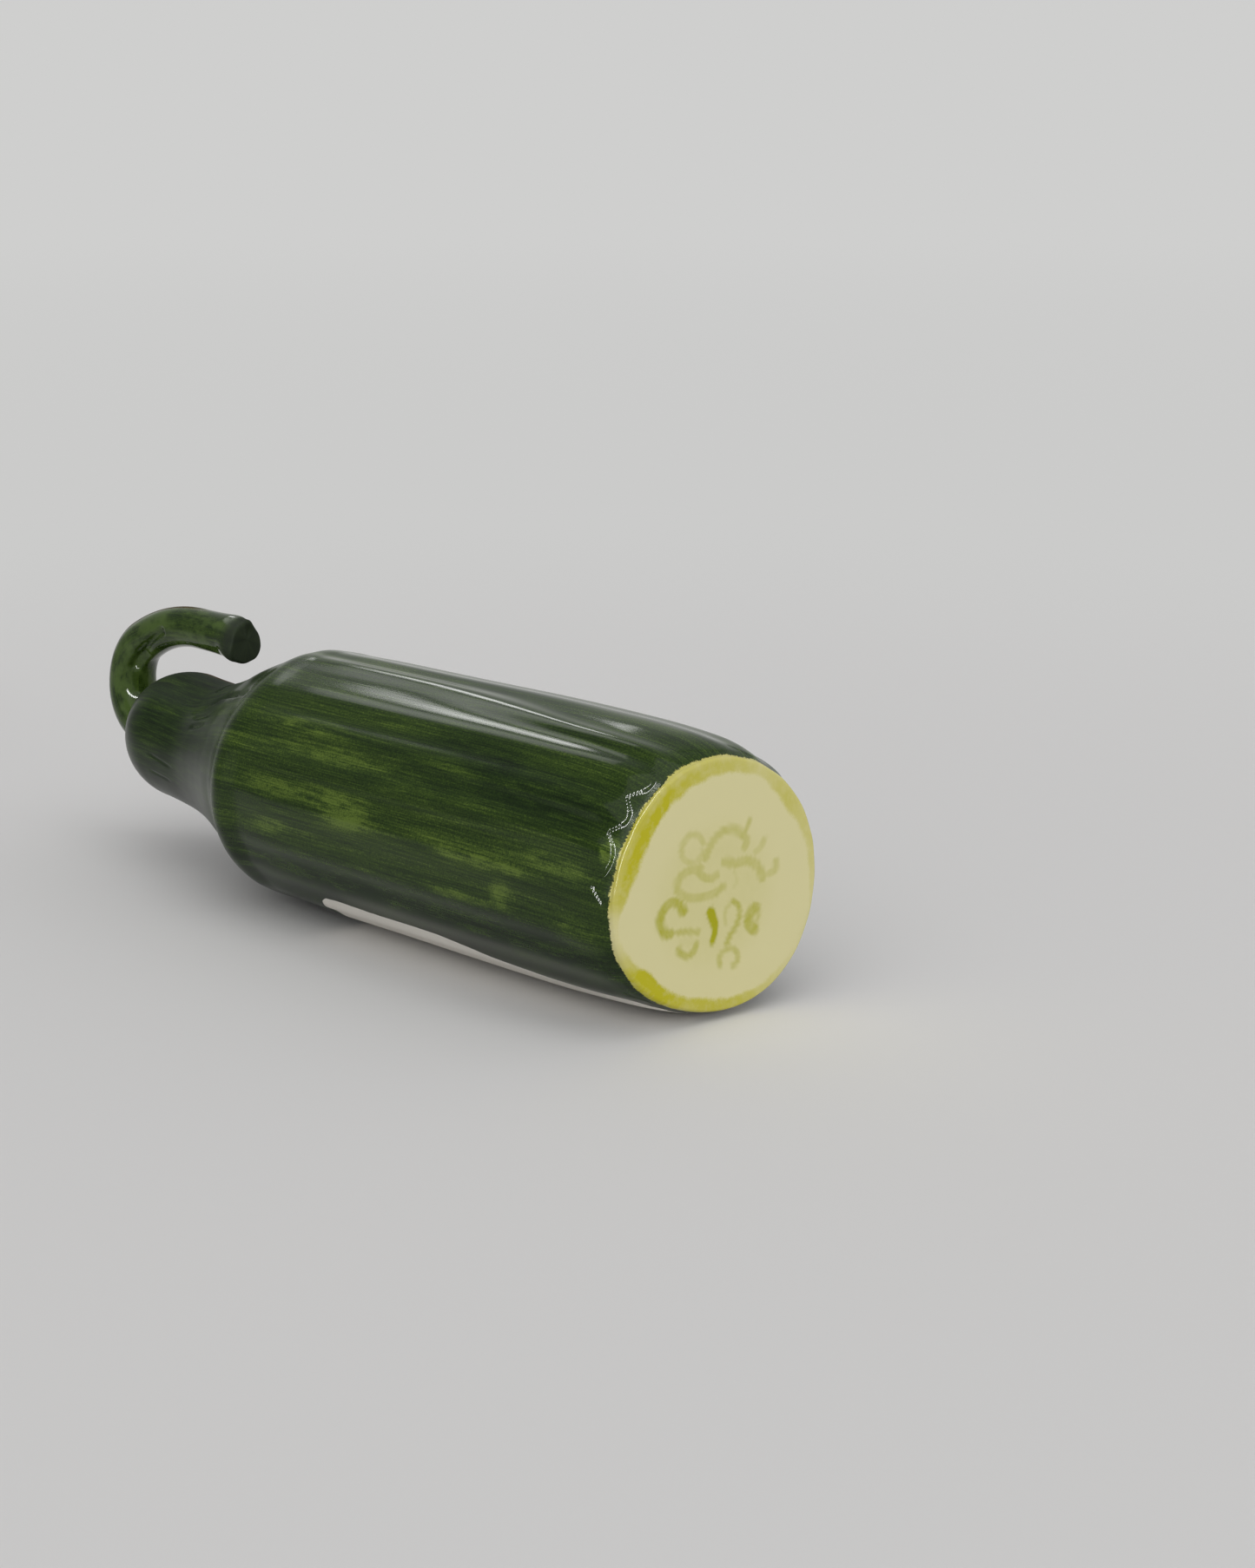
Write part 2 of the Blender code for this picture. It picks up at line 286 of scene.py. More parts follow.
def body_rows():
    """Sections as back, radius, height, and share of the radius for the rings of the cut."""
    rows = [(0.0, CUT_RADIUS, CUT_HEIGHT, step / FACE_STEPS) for step in range(FACE_STEPS + 1)]
    for step in range(1, RIM_STEPS):
        turn = math.pi / 2.0 * step / RIM_STEPS
        rows.append((RIM - RIM * math.cos(turn), CUT_RADIUS + RIM * math.sin(turn), CUT_HEIGHT, 1.0))
    for back in spread(BODY_SPANS):
        rows.append((back, *curve_through(OUTLINE, back), 1.0))
    for step in range(1, DOME_STEPS + 1):
        turn = NECK_END_TURN * step / DOME_STEPS
        back = NECK_BACK + NECK_END_LENGTH * math.sin(turn)
        radius = NECK_RADIUS * math.cos(turn) ** NECK_END_FULLNESS
        rows.append((back, radius, NECK_HEIGHT, 1.0))
    return rows


def add_tube(mesh, part, sides, rows, place):
    """Lays an open tube of a grid's rows, and closes its seam. place(row, turn) gives a point."""
    grid = bmesh.ops.create_grid(mesh, x_segments=sides, y_segments=len(rows) - 1, size=0.5)
    for vert in grid["verts"]:
        turn = math.tau * (vert.co.x + 0.5)
        index = round((vert.co.y + 0.5) * (len(rows) - 1))
        vert.co = MM * Vector(place(rows[index], turn))
        vert[part_layer] = part
        vert[row_layer] = index
        vert[turn_layer] = turn
    bmesh.ops.remove_doubles(mesh, verts=grid["verts"], dist=SEAM_GAP * MM)


clay = bmesh.new()
part_layer = clay.verts.layers.int.new("part")
row_layer = clay.verts.layers.int.new("row")
turn_layer = clay.verts.layers.float.new("turn")
BODY, STEM = 1, 2
body_sections = body_rows()
add_tube(clay, BODY, BODY_SIDES, body_sections, body_point)

# Stem
# It is a roll of the same clay, joined to the end of the neck and curled up and back over it.
# Its tip was torn off, which left an uneven end with six sides.

# Its radius by the distance along it, and the radius and angle of each bend, one after another.
STEM_TAPER = (
    (0.4, 7.00),
    (1.2, 6.55),
    (2.4, 6.15),
    (4.0, 5.95),
    (8.0, 5.95),
    (20.0, 5.52),
    (32.0, 5.10),
    (48.0, 4.78),
    (58.0, 4.82),
    (66.0, 5.15),
)
STEM_ROOT_LENGTH = 0.9
STEM_BENDS = (
    (9.1, math.radians(90.0)),
    (13.0, math.radians(60.0)),
    (43.4, math.radians(30.8)),
)
STEM_TIP_LENGTH = 17.4
# The corners of the torn end are turns round the stem, once round, and their reach.
TIP_CORNERS = (
    (math.radians(-50.0), 7.9),
    (math.radians(3.0), 5.9),
    (math.radians(64.0), 7.7),
    (math.radians(122.0), 5.8),
    (math.radians(195.0), 5.0),
    (math.radians(276.0), 6.1),
    (math.radians(310.0), 7.9),
)
# It takes on those corners over its last stretch, and the end leans both ways.
TIP_CORNER_LENGTH = 6.0
TIP_LEAN_DOWN = math.radians(-4.0)
TIP_LEAN_SIDEWAYS = math.radians(22.0)
# Where a finger pressed in its near side as it was bent, as the dents of the neck are given.
STEM_DENTS = (
    (23.5, 38.0, 31.0, 42.0, 2.3, 1.3),
    (31.0, 44.0, 42.5, 84.0, 1.7, 1.1),
    (29.5, 58.0, 34.5, 66.0, 1.0, 0.8),
)
# The edge of the torn end is rounded, its corners are worn and its face is uneven.
TIP_EDGE = 0.8
TIP_EDGE_STEPS = 6
TIP_SOFTNESS = math.radians(15.0)
TIP_FACE_STEPS = 10
TIP_FACE_WAVES = ((1, 0.20, 0.6), (2, 0.16, 2.1), (3, 0.12, -0.8))
STEM_INSET = 0.13
STEM_SIDES = 88
STEM_BENT_LENGTH = sum(radius * angle for radius, angle in STEM_BENDS)
STEM_LENGTH = STEM_ROOT_LENGTH + STEM_BENT_LENGTH + STEM_TIP_LENGTH
STEM_SPANS = ((0.4, 7.2, 12), (7.2, STEM_LENGTH, 120))


def stem_place(distance):
    """The stem's middle line at a distance along it: x, z and its heading above -X."""
    straight = min(distance, STEM_ROOT_LENGTH)
    x = CUT_X - NECK_BACK - NECK_END_LENGTH * math.sin(NECK_END_TURN) - straight
    z = NECK_HEIGHT
    heading = 0.0
    distance -= straight
    for radius, angle in STEM_BENDS:
        swept = min(distance / radius, angle)
        x += radius * (math.sin(heading) - math.sin(heading + swept))
        z += radius * (math.cos(heading) - math.cos(heading + swept))
        heading += swept
        distance -= swept * radius
    return x - distance * math.cos(heading), z + distance * math.sin(heading), heading


def tip_reach(turn):
    """How far out the torn end's edge is. It runs straight from corner to corner."""
    start = TIP_CORNERS[0][0]
    turn = (turn - start) % math.tau + start
    reach = 0.0
    for (turn_1, reach_1), (turn_2, reach_2) in zip(TIP_CORNERS, TIP_CORNERS[1:]):
        if turn_1 <= turn <= turn_2:
            span = reach_1 * math.sin(turn - turn_1) + reach_2 * math.sin(turn_2 - turn)
            reach = reach_1 * reach_2 * math.sin(turn_2 - turn_1) / span
    return reach


def soft_tip_reach(turn):
    """The same with its corners worn round."""
    steps = (-1.0, -0.5, 0.0, 0.5, 1.0)
    return sum(tip_reach(turn + step * TIP_SOFTNESS) for step in steps) / len(steps)


def stem_point(row, turn):
    """A point of the stem: turn goes round it from the inside of its bends."""
    distance, edge, inward = row
    x, z, heading = stem_place(distance)
    radius = curve_through(STEM_TAPER, distance)[0] - STEM_INSET
    radius -= dent(distance, turn, radius, STEM_DENTS)
    share = ease(distance, STEM_LENGTH - TIP_CORNER_LENGTH, STEM_LENGTH)
    radius += share * (soft_tip_reach(turn) - STEM_INSET - radius)
    radius = (radius - TIP_EDGE * (1.0 - math.cos(edge))) * inward
    across = radius * math.sin(turn)
    above = radius * math.cos(turn)
    along = share * (math.tan(TIP_LEAN_DOWN) * above + math.tan(TIP_LEAN_SIDEWAYS) * across)
    along += TIP_EDGE * (math.sin(edge) - share)
    along += inward * (1.0 - inward) * 4.0 * waves(TIP_FACE_WAVES, turn)
    x += above * math.sin(heading) - along * math.cos(heading)
    z += above * math.cos(heading) + along * math.sin(heading)
    return (x, -across, z)


def stem_rows():
    """Rows as distance, turn over the tip's rounded edge, and share of the radius in its face."""
    rows = [(distance, 0.0, 1.0) for distance in spread(STEM_SPANS)]
    for step in range(1, TIP_EDGE_STEPS + 1):
        rows.append((STEM_LENGTH, math.pi / 2.0 * step / TIP_EDGE_STEPS, 1.0))
    for step in range(1, TIP_FACE_STEPS + 1):
        rows.append((STEM_LENGTH, math.pi / 2.0, 1.0 - step / TIP_FACE_STEPS))
    return rows


stem_sections = stem_rows()
add_tube(clay, STEM, STEM_SIDES, stem_sections, stem_point)


def middle_x(loop):
    """Where the middle of a loop of edges is along X."""
    return sum(vert.co.x for edge in loop for vert in edge.verts) / (2 * len(loop))


def open_loops(mesh):
    """The tubes' open ends, each a list of edges, in their order along X."""
    left = {edge for edge in mesh.edges if edge.is_boundary}
    loops = []
    while left:
        loop = [left.pop()]
        grown = True
        while grown:
            ends = {vert for edge in loop for vert in edge.verts}
            near = {edge for edge in left if edge.verts[0] in ends or edge.verts[1] in ends}
            loop.extend(near)
            left -= near
            grown = bool(near)
        loops.append(loop)
    return sorted(loops, key=middle_x)


stem_foot, neck_end = open_loops(clay)
bmesh.ops.bridge_loops(clay, edges=stem_foot + neck_end)
bmesh.ops.recalc_face_normals(clay, faces=clay.faces)
for face in clay.faces:
    face.smooth = True
data = bpy.data.meshes.new("cucumber_fired")
clay.to_mesh(data)
clay.free()
data.set_sharp_from_angle(angle=SHARP_EDGE)
cucumber = bpy.data.objects.new("cucumber_fired", data)
scene.collection.objects.link(cucumber)
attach(cucumber, "root")
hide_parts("cucumber")

# Painted cut
# The cut face is cream underglaze with a ring of yellow-green brushed in from its rim, and seeds
# drawn in the middle with the tip of a brush. Places on it are across and up from its middle.
# The ring is given in degrees from the top and round to the right, then how far in from the rim
# it was brushed and how strong it is.
RING = (
    (-180, 1.7, 0.8),
    (-165, 2.0, 0.8),
    (-150, 1.8, 0.9),
    (-140, 2.4, 1.0),
    (-128, 2.7, 1.0),
    (-118, 1.4, 0.6),
    (-108, 0.3, 0.2),
    (-96, 0.3, 0.2),
    (-87, 2.2, 0.7),
    (-75, 3.1, 0.9),
    (-60, 3.5, 1.0),
    (-45, 3.7, 1.0),
    (-30, 3.3, 0.9),
    (-15, 3.0, 0.75),
    (0, 2.5, 0.65),
    (15, 2.0, 0.55),
    (25, 1.6, 0.35),
    (35, 2.2, 0.45),
    (48, 2.8, 0.6),
    (60, 2.2, 0.45),
    (75, 1.7, 0.4),
    (90, 1.1, 0.3),
    (105, 0.5, 0.15),
    (135, 0.5, 0.15),
    (150, 1.0, 0.4),
    (165, 1.4, 0.7),
    (180, 1.7, 0.8),
)
# Each brush stroke: its width, how strong it is, and the points that it passes through.
SEEDS = (
    (1.5, 0.40, (
        (-3.9, 9.6), (-5.2, 11.2), (-7.4, 11.3), (-8.8, 9.6),
        (-8.7, 7.5), (-7.0, 6.1), (-5.0, 6.3), (-3.9, 7.8),
    )),
    (1.9, 0.50, (
        (-3.2, 6.4), (-2.2, 8.6), (0.0, 10.6), (2.8, 11.1),
        (5.2, 10.0), (6.6, 8.2), (6.2, 7.0),
    )),
    (1.2, 0.50, ((5.9, 9.6), (6.7, 10.8), (7.4, 12.2))),
    (1.6, 0.35, ((10.9, 7.6), (10.0, 6.2), (8.8, 5.6))),
    (1.7, 0.40, ((13.9, 2.8), (13.8, 1.2), (12.2, 0.7))),
    (2.0, 0.50, (
        (-4.4, 4.6), (-7.4, 4.6), (-9.7, 3.2), (-9.8, 1.2),
        (-7.6, -0.5), (-4.4, -1.1), (-1.2, -0.9), (0.8, 0.0),
    )),
    (1.9, 0.50, ((-5.0, 4.0), (-3.6, 2.7), (-1.6, 2.2), (-0.6, 2.6))),
    (2.2, 0.50, ((1.4, 4.9), (3.9, 4.2), (6.6, 4.2), (8.8, 3.2), (10.2, 1.4), (10.6, 0.2))),
    (1.2, 0.28, ((3.6, 2.4), (4.2, 0.6), (3.8, -0.6))),
    (2.1, 0.85, (
        (-8.5, -3.2), (-9.6, -1.5), (-11.6, -0.9), (-13.4, -2.4),
        (-14.0, -4.6), (-12.9, -6.6), (-11.6, -7.0),
    )),
    (1.5, 0.60, ((-9.8, -7.0), (-7.4, -7.3), (-5.0, -7.9))),
    (1.6, 0.70, ((-9.6, -10.4), (-8.8, -11.6), (-7.3, -12.1), (-6.0, -11.5), (-5.4, -10.3))),
    (2.4, 0.20, ((-8.8, -9.4), (-6.6, -9.6))),
    (2.1, 1.20, ((-2.0, -4.4), (-1.5, -5.6), (-1.0, -7.2))),
    (1.5, 1.20, ((-1.0, -7.0), (-0.9, -8.6), (-1.5, -10.4))),
    (1.2, 0.40, ((1.7, -7.6), (1.5, -5.4), (2.4, -3.8), (3.6, -3.2))),
    (1.4, 0.70, ((3.4, -3.2), (4.8, -4.4), (5.1, -6.2), (4.2, -8.4), (2.8, -10.0), (1.9, -11.6))),
    (2.6, 0.75, ((8.9, -5.6), (7.6, -7.0), (7.5, -8.6), (8.6, -9.8))),
    (1.3, 0.45, ((10.0, -5.4), (9.6, -7.4), (9.0, -9.6))),
    (1.4, 0.55, (
        (0.4, -15.4), (0.2, -13.8), (1.6, -12.7), (3.4, -12.7),
        (4.6, -13.8), (4.6, -15.4), (3.6, -16.2),
    )),
)
STROKE_STEPS = 8
# A thin wash lies over the middle of the seeds: how strong, and where it fades out round them.
SEED_WASH = 0.14
SEED_WASH_MIDDLE = Vector((-1.0, -1.5))
SEED_WASH_FADE = (9.0, 17.0)
# Strokes reach no further than this, and fade between these distances from half their width.
STROKES_REACH = 18.5
STROKE_FADE = (-0.5, 0.4)


def linear(hex_colour):
    """An sRGB colour such as "c4c4c2", as the linear values that Blender's sockets take."""
    values = []
    for start in (0, 2, 4):
        value = int(hex_colour[start:start + 2], 16) / 255.0
        values.append(value / 12.92 if value <= 0.04045 else ((value + 0.055) / 1.055) ** 2.4)
    return (*values, 1.0)


CREAM = linear("dfd8a4")
RING_GREEN = linear("c0b922")
SEED_GREEN = linear("aeac1a")


def painted_line(points):
    """A brush stroke's smooth path, as points close together."""
    keyed = [(float(index), *point) for index, point in enumerate(points)]
    steps = (len(points) - 1) * STROKE_STEPS
    return [Vector(curve_through(keyed, step / STROKE_STEPS)) for step in range(steps + 1)]


STROKES = [(width, strength, painted_line(points)) for width, strength, points in SEEDS]


def seed_paint(place):
    """How much paint the brush left on a place of the cut."""
    paint = SEED_WASH * (1.0 - ease((place - SEED_WASH_MIDDLE).length, *SEED_WASH_FADE))
    if place.length < STROKES_REACH:
        for width, strength, line in STROKES:
            gap = min((place - point).length for point in line)
            fade = (0.5 * width + STROKE_FADE[0], 0.5 * width + STROKE_FADE[1])
            paint = max(paint, strength * (1.0 - ease(gap, *fade)))
    return paint


# Bare foot
# Under the body the glaze was wiped off before firing, so that it shows pale bare clay. Its edge is
# given as degrees round from the top on the near side, by distance from the cut, and the far side
# is its mirror image, a little lower. It ends short of the cut and of the shoulder.
FOOT_EDGE = (
    (0.0, 149.0),
    (10.0, 144.5),
    (20.0, 141.5),
    (30.0, 139.0),
    (40.0, 137.0),
    (50.0, 134.3),
    (60.0, 132.0),
    (75.0, 132.6),
    (90.0, 131.4),
    (100.0, 132.0),
)
# Where it starts and ends along the body, the radius of its corners, and by how many degrees the
# far side is lower.
FOOT_END = (3.0, 97.5)
FOOT_CORNER = 5.0
FAR_SIDE_LOWER = 8.0
BARE_CLAY = linear("e6e2da")


def bare_depth(back, turn_degrees):
    """How far inside the bare foot a place is, or less than 0 outside it, in millimetres."""
    at = min(back, FOOT_EDGE[-1][0])
    radius = curve_through(OUTLINE, at)[0]
    edge = curve_through(FOOT_EDGE, at)[0]
    round_under = turn_degrees % 360.0
    arc = math.radians(1.0) * radius
    across = max((edge - round_under) * arc, (round_under - 360.0 + edge + FAR_SIDE_LOWER) * arc)
    along = max(FOOT_END[0] - back, back - FOOT_END[1])
    out = math.hypot(max(along + FOOT_CORNER, 0.0), max(across + FOOT_CORNER, 0.0))
    return FOOT_CORNER - out - min(max(along, across) + FOOT_CORNER, 0.0)


# Glaze
# Two or three coats of dark green were brushed along the body and round the stem, under a clear
# gloss, and fired. Each point of the mesh is marked with how the finish lies there, as a share or
# as a depth in millimetres, and the material reads those marks.

# Where the brushed green is thinner and yellower, and, in five narrow rows, painted highlights
# along rib edges: distance from the cut, degrees round, half lengths both ways, and how thin.
THIN_PATCHES_AND_HIGHLIGHTS = (
    (79.0, 81.0, 13.0, 9.0, 0.72),
    (100.0, 79.0, 16.0, 4.0, 0.55),
    (96.0, 50.0, 16.0, 5.0, 0.45),
    (90.0, 60.0, 22.0, 4.5, 0.40),
    (36.0, 86.0, 17.0, 3.5, 0.80),
    (31.0, 97.0, 4.0, 7.0, 0.80),
    (43.0, 103.0, 11.0, 3.0, 0.65),
    (15.0, 78.0, 13.0, 4.5, 0.50),
    (104.0, 96.0, 6.0, 5.0, 0.50),
    (9.0, 106.0, 7.0, 9.0, 0.40),
    (8.0, 125.0, 9.0, 7.0, 0.40),
    (60.0, 64.0, 9.0, 3.5, 0.35),
    (3.0, 66.0, 2.0, 7.0, 0.90),
    (25.0, 52.0, 24.0, 12.0, -0.45),
    (46.0, 43.0, 14.0, 8.0, -0.35),
    (57.0, 60.0, 12.0, 7.0, -0.35),
    (165.0, 60.0, 42.0, 160.0, -0.60),
    # These five narrow rows are painted highlights: light streaks along rib edges, where the gloss
    # catches a lamp.
    (10.0, 65.5, 11.0, 0.7, 0.60),
    (19.0, 54.5, 14.0, 0.7, 0.60),
    (95.0, 51.0, 12.0, 0.7, 0.50),
    (84.0, 56.0, 12.0, 0.7, 0.40),
    (50.0, 52.5, 14.0, 0.7, 0.40),
    (60.0, -70.0, 22.0, 10.0, 0.80),
    (95.0, -100.0, 15.0, 6.0, 0.70),
    (30.0, -95.0, 14.0, 8.0, 0.60),
    (80.0, -40.0, 18.0, 5.0, 0.50),
)
THIN_FADE = (0.55, 1.15)
# Under the body the green is painted darker, as painted shade: by how much, and from how many degrees
# round.
PAINTED_SHADE_UNDER = 0.85
PAINTED_SHADE_FROM = (95.0, 125.0)
# Where the green turns brown: along the neck's top, and the stem's outer edge, as
# degrees round them, half widths in degrees, and where it comes and goes. On the stem the line
# winds round with the distance along it.
NECK_BROWN_EDGE = -20.0
NECK_BROWN_WIDTH = (3.0, 9.0)
NECK_BROWN_FROM = (138.0, 156.0)
STEM_BROWN_EDGE = (
    (0.0, 128.0),
    (14.0, 132.0),
    (20.0, 138.0),
    (30.0, 158.0),
    (42.0, 176.0),
    (60.0, 180.0),
)
STEM_BROWN_WIDTH = (6.0, 20.0)
STEM_BROWN_FROM = (12.0, 20.0)
STEM_BROWN_TO = (46.0, 58.0)
TORN_FROM = (STEM_LENGTH - 5.0, STEM_LENGTH - 1.0)
# The gloss grows duller over the shoulder and stays so on the neck, whose top is nearly matt: how
# far back each starts, the middle of the matt top and its half widths in degrees, and its share.
NECK_DULL = (108.0, 126.0)
NECK_MATT = (132.0, 142.0)
NECK_MATT_MIDDLE = 4.0
NECK_MATT_ROUND = (24.0, 50.0)
NECK_MATT_SHARE = 1.8
# The brush's own path unrolls the skin: distance along it, and a circle of these radii round it.
BRUSH_RADIUS = 28.0
STEM_BRUSH_RADIUS = 6.0
NECK_TO_STEM = NECK_BACK + NECK_END_LENGTH * math.sin(NECK_END_TURN)
FADE_TO_STEM = (0.0, 3.0)
FAR_OUTSIDE = -100.0
MARKS = (
    "cut_depth", "ring_depth", "ring_strength", "seeds", "bare",
    "thin_and_painted_light", "stem", "brown", "torn", "neck",
)


def thin_glaze_and_painted_light(back, turn_degrees):
    """How thin the green was brushed, 0 to 1 and a little over. It also holds painted
    highlights along rib edges, and painted shade under the body.
    """
    total = 0.0
    for patch_back, patch_turn, length, width, strength in THIN_PATCHES_AND_HIGHLIGHTS:
        away = ((back - patch_back) / length) ** 2
        away += (math.remainder(turn_degrees - patch_turn, 360.0) / width) ** 2
        total += strength * (1.0 - ease(math.sqrt(away), *THIN_FADE))
    return total - PAINTED_SHADE_UNDER * ease(abs(math.remainder(turn_degrees, 360.0)), *PAINTED_SHADE_FROM)


def body_marks(row, turn):
    """The marks of a point of the body or of the cut."""
    back, _, _, share = row
    degrees = math.degrees(turn)
    inside = CUT_RADIUS * (1.0 - share)
    width, strength = curve_through(RING, math.remainder(-degrees, 360.0))
    marks = {"cut_depth": inside - back, "ring_depth": width - inside, "ring_strength": strength}
    if share < 1.0:
        reach = share * (CUT_RADIUS + waves(CUT_WAVES, turn))
        marks["seeds"] = seed_paint(Vector((-reach * math.sin(turn), reach * math.cos(turn))))
        marks["bare"] = FAR_OUTSIDE
        return marks
    off_top = abs(math.remainder(degrees - NECK_MATT_MIDDLE, 360.0))
    off_brown = abs(math.remainder(degrees - NECK_BROWN_EDGE, 360.0))
    matt = ease(back, *NECK_MATT) * (1.0 - ease(off_top, *NECK_MATT_ROUND))
    marks["bare"] = bare_depth(back, degrees)
    # Thinner glaze, with painted highlights along rib edges and painted shade under the body.
    marks["thin_and_painted_light"] = thin_glaze_and_painted_light(back, degrees)
    marks["neck"] = ease(back, *NECK_DULL) + NECK_MATT_SHARE * matt
    marks["brown"] = (1.0 - ease(off_brown, *NECK_BROWN_WIDTH)) * ease(back, *NECK_BROWN_FROM)
    return marks


def stem_marks(row, turn):
    """The marks of a point of the stem."""
    distance, _, _ = row
    line = curve_through(STEM_BROWN_EDGE, min(distance, STEM_BROWN_EDGE[-1][0]))[0]
    brown = 1.0 - ease(abs(math.degrees(turn) - line), *STEM_BROWN_WIDTH)
    brown *= ease(distance, *STEM_BROWN_FROM) * (1.0 - ease(distance, *STEM_BROWN_TO))
    stem = ease(distance, *FADE_TO_STEM)
    return {
        "cut_depth": FAR_OUTSIDE,
        "bare": FAR_OUTSIDE,
        "stem": stem,
        "neck": 1.0 - stem,
        "brown": brown,
        "torn": ease(distance, *TORN_FROM),
    }


for name in MARKS:
    data.attributes.new(name, "FLOAT", "POINT")
data.attributes.new("brush", "FLOAT_VECTOR", "POINT")
marked = {name: data.attributes[name].data for name in (*MARKS, "brush", "part", "row", "turn")}
for index in range(len(data.vertices)):
    turn = marked["turn"][index].value
    row = marked["row"][index].value
    if marked["part"][index].value == STEM:
        marks = stem_marks(stem_sections[row], turn)
        along = NECK_TO_STEM + stem_sections[row][0]
        radius = STEM_BRUSH_RADIUS
    else:
        marks = body_marks(body_sections[row], turn)
        along = body_sections[row][0]
        radius = BRUSH_RADIUS * body_sections[row][3]
    marked["brush"][index].vector = (along, radius * math.sin(turn), radius * math.cos(turn))
    for name, value in marks.items():
        marked[name][index].value = value


def add_node(tree, kind, inputs=None, **settings):
    """Adds a shader node, sets its properties, and fills its inputs with values or links."""
    node = tree.nodes.new("ShaderNode" + kind)
    for name, value in settings.items():
        setattr(node, name, value)
    for name, value in (inputs or {}).items():
        if isinstance(value, bpy.types.NodeSocket):
            tree.links.new(value, node.inputs[name])
        else:
            node.inputs[name].default_value = value
    return node


# Glazed earthenware: brush hairs leave dark and light streaks, places where they dragged show
# yellower green, and the clear gloss over them is smooth but follows the ribs.
COATS = (
    (0.00, linear("0e1a08")),
    (0.30, linear("18280e")),
    (0.50, linear("243613")),
    (0.70, linear("354919")),
    (1.00, linear("5f742e")),
)
POOLED_GREEN = linear("0e1a08")
STEM_GREEN = linear("4a5f2b")
EDGE_LINE_BROWN = linear("4a3008")
GLAZE_IOR = 1.5
GLAZE_MIRRORING = 0.20
# The lumps of each pattern in millimetres, along the brush and across it, then how finely they
# break up. The hairs and the grain are drawn coarser than a real brush's, so that they show.
PATTERNS = {
    "hairs": (16.0, 0.32, 3.0, 0.6),
    "bands": (38.4, 3.2, 3.0, 0.55),
    "blotches": (9.0, 6.0, 3.0, 0.6),
    "grain": (0.35, 0.35, 2.0, 0.5),
    "scratches": (30.0, 0.35, 2.0, 0.5),
    "dabs": (7.0, 1.6, 3.0, 0.6),
    "washes": (2.5, 2.5, 3.0, 0.6),
}
# How far the edges of the paint and of the glaze wander with the blotches and with the grain.
WANDER = {"ring_depth": (2.4, 0.8), "cut_depth": (2.0, 1.0), "bare": (0.8, 0.0)}
# How much each pattern thins the coats. Noise adds about half its share, so the start is low.
COAT_START = -0.47
# The thin share also carries the painted highlights and the painted shade.
COAT_SHARES = {"hairs": 0.85, "bands": 0.6, "thin_and_painted_light": 0.48, "grain": 0.7, "scratches": 0.10}
# How strong the paint of the seeds is between the washes, and how much they add to it.
SEED_PAINT = 0.45
SEED_PAINT_WASHES = 0.8
# The roughness of the gloss, what the paint of the cut adds, and that of each duller place.
GLOSS = 0.10
CUT_ADDS = 0.08
DULL_PLACES = {"on_foot": 0.85, "neck": 0.28, "brown": 0.95, "torn": 0.85}
# The relief of the hairs and the grain in the gloss, in millimetres, and how strongly it shows.
RELIEF = 0.06
RELIEF_STRENGTH = 0.12
RELIEF_GRAIN = 0.35

fired = bpy.data.materials.new("glazed_earthenware")
fired.use_nodes = True
tree = fired.node_tree
shader = tree.nodes["Principled BSDF"]
data.materials.append(fired)
shader.inputs["Specular IOR Level"].default_value = GLAZE_MIRRORING
shader.inputs["IOR"].default_value = GLAZE_IOR

finish = {name: add_node(tree, "Attribute", attribute_name=name).outputs["Fac"] for name in MARKS}
brush_path = add_node(tree, "Attribute", attribute_name="brush").outputs["Vector"]
for name, (along, across, detail, roughness) in PATTERNS.items():
    per_lump = (1.0 / along, 1.0 / across, 1.0 / across)
    lumps = add_node(tree, "VectorMath", {0: brush_path, 1: per_lump}, operation="MULTIPLY").outputs[0]
    inputs = {"Vector": lumps, "Scale": 1.0, "Detail": detail, "Roughness": roughness}
    finish[name] = add_node(tree, "TexNoise", inputs).outputs["Fac"]

# Noise is a half on average, so half of what it adds to an edge is taken off.
edges = {}
for name, (blotches, grain) in WANDER.items():
    inputs = {0: finish[name], 1: 0.5 * (blotches + grain)}
    edge = add_node(tree, "Math", inputs, operation="SUBTRACT").outputs[0]
    for pattern, reach in (("blotches", blotches), ("grain", grain)):
        inputs = {0: finish[pattern], 1: reach, 2: edge}
        edge = add_node(tree, "Math", inputs, operation="MULTIPLY_ADD").outputs[0]
    edges[name] = edge

# Smooth steps: what each reads, where it starts and ends, and its values before and after.
for name, source, low, high, before, after in (
    ("scratches", finish["scratches"], 0.60, 0.72, 0.0, 1.0),
    ("dabs", finish["dabs"], 0.36, 0.62, 0.25, 1.0),
    ("mottle", finish["blotches"], 0.42, 0.62, 0.0, 1.0),
    ("ring", edges["ring_depth"], -0.6, 0.5, 0.0, 1.0),
    ("ring_fade", edges["ring_depth"], 1.9, 3.2, 1.0, 0.78),
    ("ring_washes", finish["washes"], 0.3, 0.6, 0.75, 1.0),
    ("on_cut", edges["cut_depth"], -1.25, -0.95, 0.0, 1.0),
    ("on_foot", edges["bare"], -0.08, 0.08, 0.0, 1.0),
    # The dark band above the bare foot is thicker glaze, with the painted shadow of its edge.
    ("glaze_lip_and_shadow", edges["bare"], -1.4, -0.1, 0.0, 0.6),
):
    inputs = {"Value": source, "From Min": low, "From Max": high, "To Min": before, "To Max": after}
    stepped = add_node(tree, "MapRange", inputs, interpolation_type="SMOOTHSTEP")
    finish[name] = stepped.outputs["Result"]

inputs = {0: finish["washes"], 1: SEED_PAINT_WASHES, 2: SEED_PAINT}
finish["seed_washes"] = add_node(tree, "Math", inputs, operation="MULTIPLY_ADD").outputs[0]
